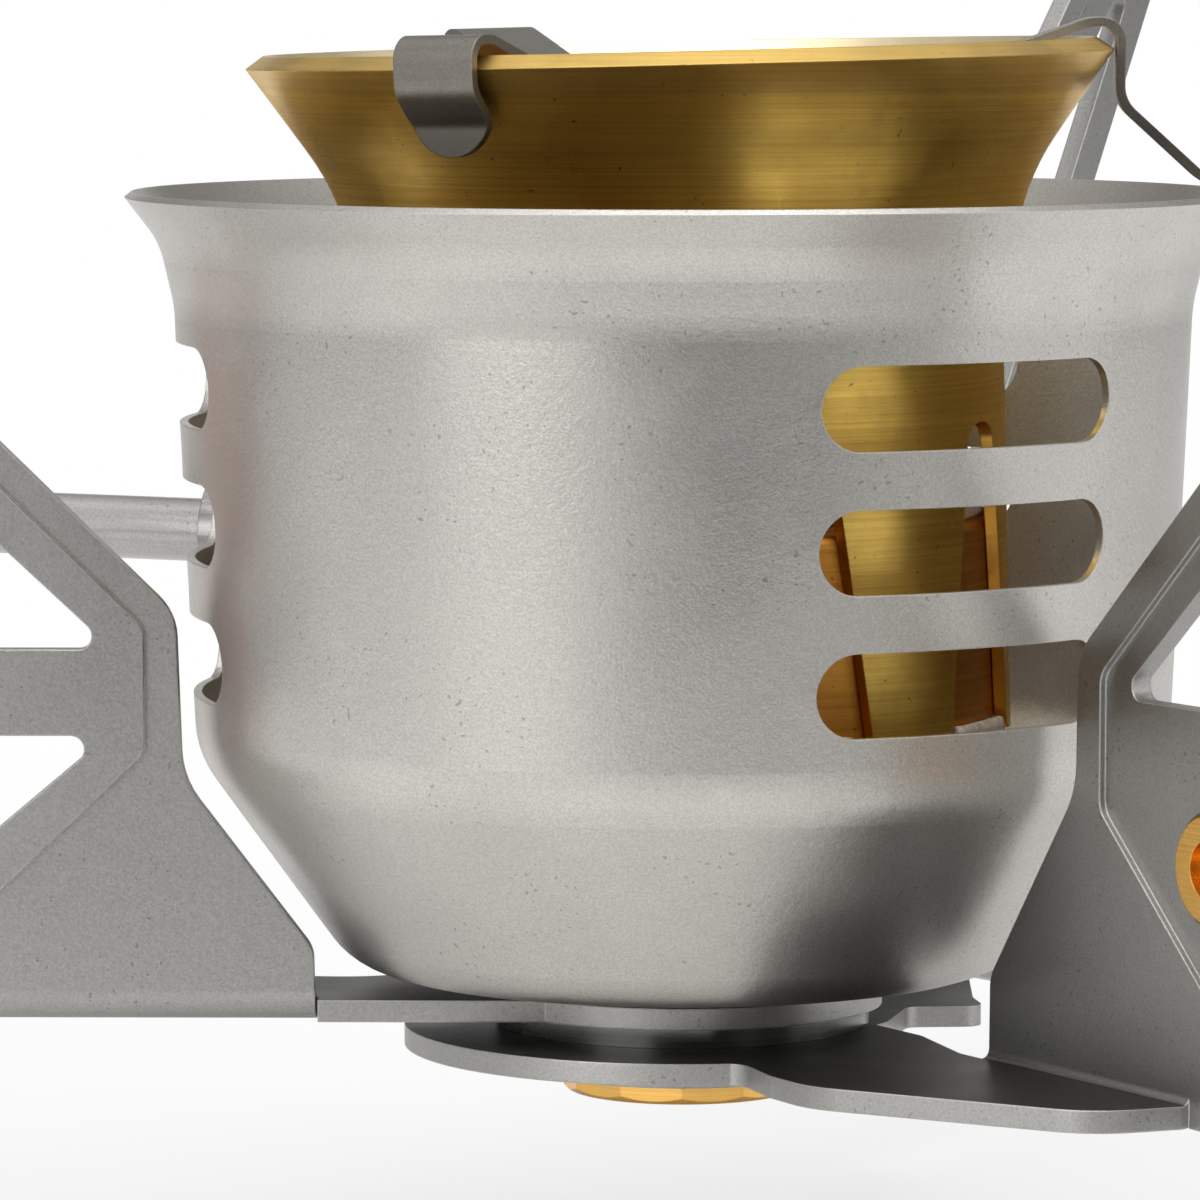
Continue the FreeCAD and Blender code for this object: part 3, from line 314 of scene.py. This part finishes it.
# Finishes of turned metal
def turned_metal(name, color, roughness, line_size, line_depth, stain_color, stain_share):
    """Metal turned on a lathe: fine lines round its axis, stains and small pits."""
    material, graph, shader = new_finish(name, metallic=1.0, roughness=roughness)
    lines = graph.noise(line_size, detail=4.0, roughness=0.7, stretch=(160, 160, 1))
    bands = graph.noise(line_size * 9, detail=2.0, stretch=(25, 25, 1))
    clouds = graph.noise(6.0, detail=4.0, roughness=0.6)
    tone = graph.mix(graph.spread(lines, 0.3, 0.7), shaded(color, 0.84), shaded(color, 1.10))
    tone = graph.mix(graph.spread(bands, 0.45, 0.75, 0.0, 0.35), tone, shaded(color, 0.72))
    tone = graph.mix(graph.spread(clouds, 0.52, 0.80, 0.0, stain_share), tone, rgba(stain_color))
    pits = graph.noise(0.5, detail=1.0, distortion=0.6)
    tone = graph.mix(graph.spread(pits, 0.72, 0.80, 0.0, 0.7), tone, shaded(stain_color, 0.5))
    graph.put(shader.inputs["Base Color"], tone)
    rough = graph.spread(clouds, 0.3, 0.7, roughness - 0.05, roughness + 0.07)
    graph.put(shader.inputs["Roughness"], rough)
    graph.put(shader.inputs["Normal"], graph.bump(lines, line_depth, graph.rounded(0.10)))
    return material, graph, shader, tone


def bell_brass():
    """Turned brass, darker and redder on the inside where the flame heats it, with painted shade along the
    top of its lip and a painted pale reflection on its inward faces.
    """
    material, graph, shader, tone = turned_metal(
        "bell_brass", (0.99, 0.66, 0.155), roughness=0.32, line_size=0.16, line_depth=0.006,
        stain_color=(0.34, 0.19, 0.04), stain_share=0.35)
    level = graph.scaled(graph.millimetres(), (1, 1, 0))
    outward = graph.node("ShaderNodeVectorMath", {0: level}, operation="NORMALIZE").outputs[0]
    turn = graph.dot(graph.facing(), outward)
    height = graph.axes(graph.millimetres())["Z"]
    # Painted shade: the top of the lip is darkened, standing in for less light falling on it.
    lip_shade = graph.spread(height, lip_height - 1.4, lip_height - 0.8, 0.0, 0.45)
    tone = graph.mix(lip_shade, tone, rgba((0.62, 0.42, 0.17)))
    # Painted reflection: inward faces are paled toward cream, standing in for the white light they reflect.
    inward = graph.fade(turn, -0.35, -0.15)
    pale = graph.mix(inward, tone, rgba((0.95, 0.80, 0.50)))
    clouds = graph.spread(graph.noise(3.0, detail=3.0), 0.45, 0.75)
    heated = graph.mix(clouds, rgba((0.80, 0.34, 0.045)), rgba((0.36, 0.13, 0.02)))
    unturned = graph.fade(turn, 0.15, 0.45)
    low = graph.fade(height, heated_height, heated_height + 4.0)
    graph.put(shader.inputs["Base Color"], graph.mix(graph.product(unturned, low), pale, heated))
    shader.inputs["Anisotropic"].default_value = 0.5
    tangent = graph.node("ShaderNodeTangent", direction_type="RADIAL", axis="Z").outputs[0]
    graph.put(shader.inputs["Tangent"], tangent)
    return material


def heated_brass():
    return turned_metal("heated_brass", (0.74, 0.34, 0.06), roughness=0.36, line_size=0.2, line_depth=0.005,
                        stain_color=(0.22, 0.09, 0.02), stain_share=0.4)[0]


def gold_brass():
    return turned_metal("gold_brass", (0.90, 0.52, 0.14), roughness=0.26, line_size=0.12, line_depth=0.002,
                        stain_color=(0.55, 0.27, 0.06), stain_share=0.25)[0]


def inlet_brass():
    return turned_metal("inlet_brass", (0.70, 0.48, 0.17), roughness=0.30, line_size=0.12, line_depth=0.003,
                        stain_color=(0.36, 0.22, 0.07), stain_share=0.3)[0]


def plain_steel():
    return turned_metal("plain_steel", (0.55, 0.545, 0.53), roughness=0.28, line_size=0.14, line_depth=0.003,
                        stain_color=(0.30, 0.29, 0.27), stain_share=0.35)[0]


def dark_steel():
    return turned_metal("dark_steel", (0.17, 0.17, 0.165), roughness=0.22, line_size=0.14, line_depth=0.003,
                        stain_color=(0.09, 0.085, 0.08), stain_share=0.35)[0]


# Finishes of the pad, the O-ring and the filter
def pad_fibre():
    """Pressed glass fibre: pale crossing threads, a little brown where the flame licks it."""
    material, graph, shader = new_finish("pad_fibre", metallic=0.0, roughness=0.85)
    upright = graph.noise(0.35, detail=2.0, stretch=(1, 1, 7))
    level = graph.noise(0.35, detail=2.0, stretch=(6, 6, 1))
    weave = graph.math("MAXIMUM", upright, level)
    clouds = graph.noise(5.0, detail=3.0)
    tone = graph.mix(graph.spread(weave, 0.45, 0.7), rgba((0.62, 0.56, 0.43)), rgba((0.88, 0.84, 0.73)))
    tone = graph.mix(graph.spread(clouds, 0.55, 0.8, 0.0, 0.6), tone, rgba((0.42, 0.31, 0.18)))
    graph.put(shader.inputs["Base Color"], tone)
    shader.inputs["Sheen Weight"].default_value = 0.2
    graph.put(shader.inputs["Normal"], graph.bump(weave, 0.08, graph.rounded(0.05)))
    return material


def ring_rubber():
    """Black rubber with a fine grain."""
    material, graph, shader = new_finish("ring_rubber", metallic=0.0, roughness=0.5)
    grain = graph.noise(0.2, detail=2.0)
    tone = graph.mix(grain, rgba((0.012, 0.012, 0.012)), rgba((0.035, 0.035, 0.034)))
    graph.put(shader.inputs["Base Color"], tone)
    graph.put(shader.inputs["Normal"], graph.bump(grain, 0.01, graph.rounded(0.05)))
    return material


def filter_bronze():
    """Sintered bronze: small round grains with dark gaps."""
    material, graph, shader = new_finish("filter_bronze", metallic=1.0, roughness=0.6)
    inputs = {"Vector": graph.millimetres(), "Scale": 7.0}
    cells = graph.node("ShaderNodeTexVoronoi", inputs).outputs["Distance"]
    tone = graph.mix(cells, rgba((0.62, 0.42, 0.20)), rgba((0.20, 0.11, 0.04)))
    graph.put(shader.inputs["Base Color"], tone)
    grains = graph.math("SUBTRACT", 1.0, cells)
    graph.put(shader.inputs["Normal"], graph.bump(grains, 0.06, graph.rounded(0.05)))
    return material


finishes = {
    "bowl_steel": bowl_steel,
    "leg_steel": leg_steel,
    "gold_brass": gold_brass,
    "plain_steel": plain_steel,
    "dark_steel": dark_steel,
    "heated_brass": heated_brass,
    "bell_brass": bell_brass,
    "spreader_steel": spreader_steel,
    "pad_fibre": pad_fibre,
    "pipe_steel": pipe_steel,
    "inlet_brass": inlet_brass,
    "ring_rubber": ring_rubber,
    "filter_bronze": filter_bronze,
}


def dress_nodes():
    """Gives every piece of the frame the finish of its material slot."""
    made = {name: build() for name, build in finishes.items()}
    for subpart in frame["record"]["subparts"]:
        piece = nodes[subpart["node"]]
        piece.data.materials.clear()
        piece.data.materials.append(made[subpart["material_slot"]])


# Priming pad
def pad_depth(x, y, z):
    """How deep the woven face lies under the plain one at a place in millimetres."""
    radius = hypot(x, y)
    around = atan2(y, x) * radius
    lump = mathnoise.noise(Vector((x, y, z)) / lump_size)
    weave = sin(2 * pi * around / thread_pitch) * sin(2 * pi * z / thread_pitch)
    strand = mathnoise.noise(Vector((around / strand_width, z / strand_length, radius / strand_width)))
    return lump_depth * (1 - lump) / 2 + thread_depth * (1 - weave) + strand_depth * (1 - strand)


def remeshed(piece):
    """The piece's form as an even mesh of small faces."""
    remesh = piece.modifiers.new("remesh", "REMESH")
    remesh.mode = "VOXEL"
    remesh.voxel_size = pad_voxel
    smooth = piece.modifiers.new("smooth", "SMOOTH")
    smooth.iterations = 1
    ready = bpy.data.meshes.new_from_object(piece.evaluated_get(bpy.context.evaluated_depsgraph_get()))
    piece.modifiers.clear()
    return ready


def woven_pad():
    """The priming pad as pressed glass fibre: a soft, lumpy form with threads standing out of it."""
    solid = nodes["priming_pad"]
    piece = bpy.data.objects.new("woven_pad", solid.data.copy())
    bpy.context.scene.collection.objects.link(piece)
    mesh = remeshed(piece)
    piece.data = mesh
    mesh.name = "woven_pad"
    directions = [vertex.normal.copy() for vertex in mesh.vertices]
    places = []
    for vertex, direction in zip(mesh.vertices, directions):
        depth = pad_depth(*(vertex.co / mm))
        places.extend(vertex.co - direction * (depth * mm))
    mesh.vertices.foreach_set("co", places)
    mesh.polygons.foreach_set("use_smooth", [True] * len(mesh.polygons))
    mesh.materials.clear()
    mesh.materials.append(solid.data.materials[0])
    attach(piece, "stove")
    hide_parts("priming_pad")


# Stage
def background_seen(graph, backward):
    """Where a ray sees white: everywhere for the camera and glass, behind the burner for metal."""
    path = graph.node("ShaderNodeLightPath").outputs
    seen = graph.math("MAXIMUM", path["Is Camera Ray"], path["Is Transmission Ray"])
    behind = graph.spread(backward, backdrop_start, backdrop_full)
    return graph.math("MAXIMUM", seen, graph.product(path["Is Glossy Ray"], behind))


def floor_finish():
    """White paper, darkened in front of the burner as painted shade, that glows where a ray sees the
    background.
    """
    material, graph, shader = new_finish("floor", metallic=0.0, roughness=0.9)
    shader.inputs["Specular IOR Level"].default_value = 0.1
    place = graph.millimetres()
    y = graph.axes(place)["Y"]
    # Painted shade: the floor in front of the burner is darkened, standing in for dim light there.
    front = graph.fade(y, -floor_front_end, -floor_front_start)
    tone = graph.mix(front, grey(floor_white), grey(floor_front_shade))
    graph.put(shader.inputs["Base Color"], tone)
    distance = graph.node("ShaderNodeVectorMath", {0: place}, operation="LENGTH").outputs["Value"]
    seen = background_seen(graph, graph.math("DIVIDE", y, distance))
    share = graph.spread(distance, glow_start, glow_end, glow_near, 1.0)
    glow = graph.node("ShaderNodeEmission", {"Color": grey(1.0), "Strength": 1.0}).outputs[0]
    inputs = {0: graph.product(seen, share), 1: shader.outputs[0], 2: glow}
    mixed = graph.node("ShaderNodeMixShader", inputs).outputs[0]
    graph.put(material.node_tree.nodes["Material Output"].inputs["Surface"], mixed)
    return material


def add_floor():
    """A wide round floor under the feet."""
    mesh = bpy.data.meshes.new("floor")
    turns = [2 * pi * i / floor_sides for i in range(floor_sides)]
    ring = [(floor_radius * cos(turn), floor_radius * sin(turn), 0) for turn in turns]
    mesh.from_pydata(ring, [], [list(range(floor_sides))])
    floor = bpy.data.objects.new("floor", mesh)
    floor.location = (0, 0, ground_z)
    bpy.context.scene.collection.objects.link(floor)
    mesh.materials.append(floor_finish())


def add_room():
    """A dim room that is white behind the burner."""
    world = bpy.data.worlds.new("room")
    bpy.context.scene.world = world
    world.use_nodes = True
    graph = Graph(world.node_tree)
    direction = graph.node("ShaderNodeTexCoord").outputs["Generated"]
    along = graph.axes(direction)
    overhead = graph.spread(along["Z"], overhead_start, overhead_full, 0.0, overhead_share)
    tone = graph.mix(overhead, grey(room_tone), grey(1.0))
    turn = radians(dim_azimuth)
    toward = graph.dot(direction, (sin(turn), -cos(turn), 0))
    dim = graph.spread(toward, cos(radians(dim_edge)), cos(radians(dim_core)))
    tone = graph.mix(dim, tone, grey(dim_tone))
    shown = graph.mix(background_seen(graph, along["Y"]), tone, grey(1.0))
    background = world.node_tree.nodes["Background"]
    graph.put(background.inputs["Color"], shown)
    background.inputs["Strength"].default_value = 1.0


def area_light(name, azimuth, elevation, distance, width, height, radiance, color):
    """A softbox aimed at the burner; azimuth 0 is on the camera's side, positive to its right."""
    data = bpy.data.lights.new(name, "AREA")
    data.shape = "RECTANGLE"
    data.size = width
    data.size_y = height
    data.energy = radiance * pi * width * height
    data.color = color
    light = bpy.data.objects.new(name, data)
    bpy.context.scene.collection.objects.link(light)
    turn = radians(azimuth)
    rise = radians(elevation)
    away = Vector((sin(turn) * cos(rise), -cos(turn) * cos(rise), sin(rise)))
    light.location = Vector((0, 0, softbox_aim)) + away * distance
    light.rotation_mode = "QUATERNION"
    light.rotation_quaternion = away.to_track_quat("Z", "Y")
    light.visible_camera = False


def add_lights():
    """A large softbox on the left, two weaker ones on the right and one overhead."""
    area_light("key_light", azimuth=-37, elevation=22, distance=softbox_distance,
               width=0.62, height=0.9, radiance=2.45, color=softbox_color)
    area_light("side_light", azimuth=57, elevation=20, distance=softbox_distance,
               width=0.62, height=0.8, radiance=1.15, color=softbox_color)
    area_light("rim_light", azimuth=91, elevation=16, distance=softbox_distance,
               width=0.20, height=0.8, radiance=0.8, color=softbox_color)
    area_light("top_light", azimuth=10, elevation=78, distance=1.1,
               width=1.0, height=1.0, radiance=2.0, color=top_light_color)


def photo_camera():
    """The camera of the photograph, turned so that the burner's axis and the horizon fall on their pixels."""
    data = bpy.data.cameras.new("photo_camera")
    camera = bpy.data.objects.new("photo_camera", data)
    bpy.context.scene.collection.objects.link(camera)
    data.sensor_width = sensor_width
    data.lens = sensor_width * focal_pixels / image_size
    data.clip_start = 10 * mm
    data.clip_end = 60.0
    across = (image_size / 2 - axis_pixel_x) / focal_pixels
    down = (image_size / 2 - horizon_pixel_y) / focal_pixels
    camera.location = (0, -camera_distance, camera_height)
    camera.rotation_mode = "QUATERNION"
    camera.rotation_quaternion = Vector((across, 1, -down)).to_track_quat("-Z", "Y")
    bpy.context.scene.camera = camera


dress_nodes()
woven_pad()
add_floor()
add_room()
add_lights()
photo_camera()

bpy.context.scene.view_settings.view_transform = "Standard"
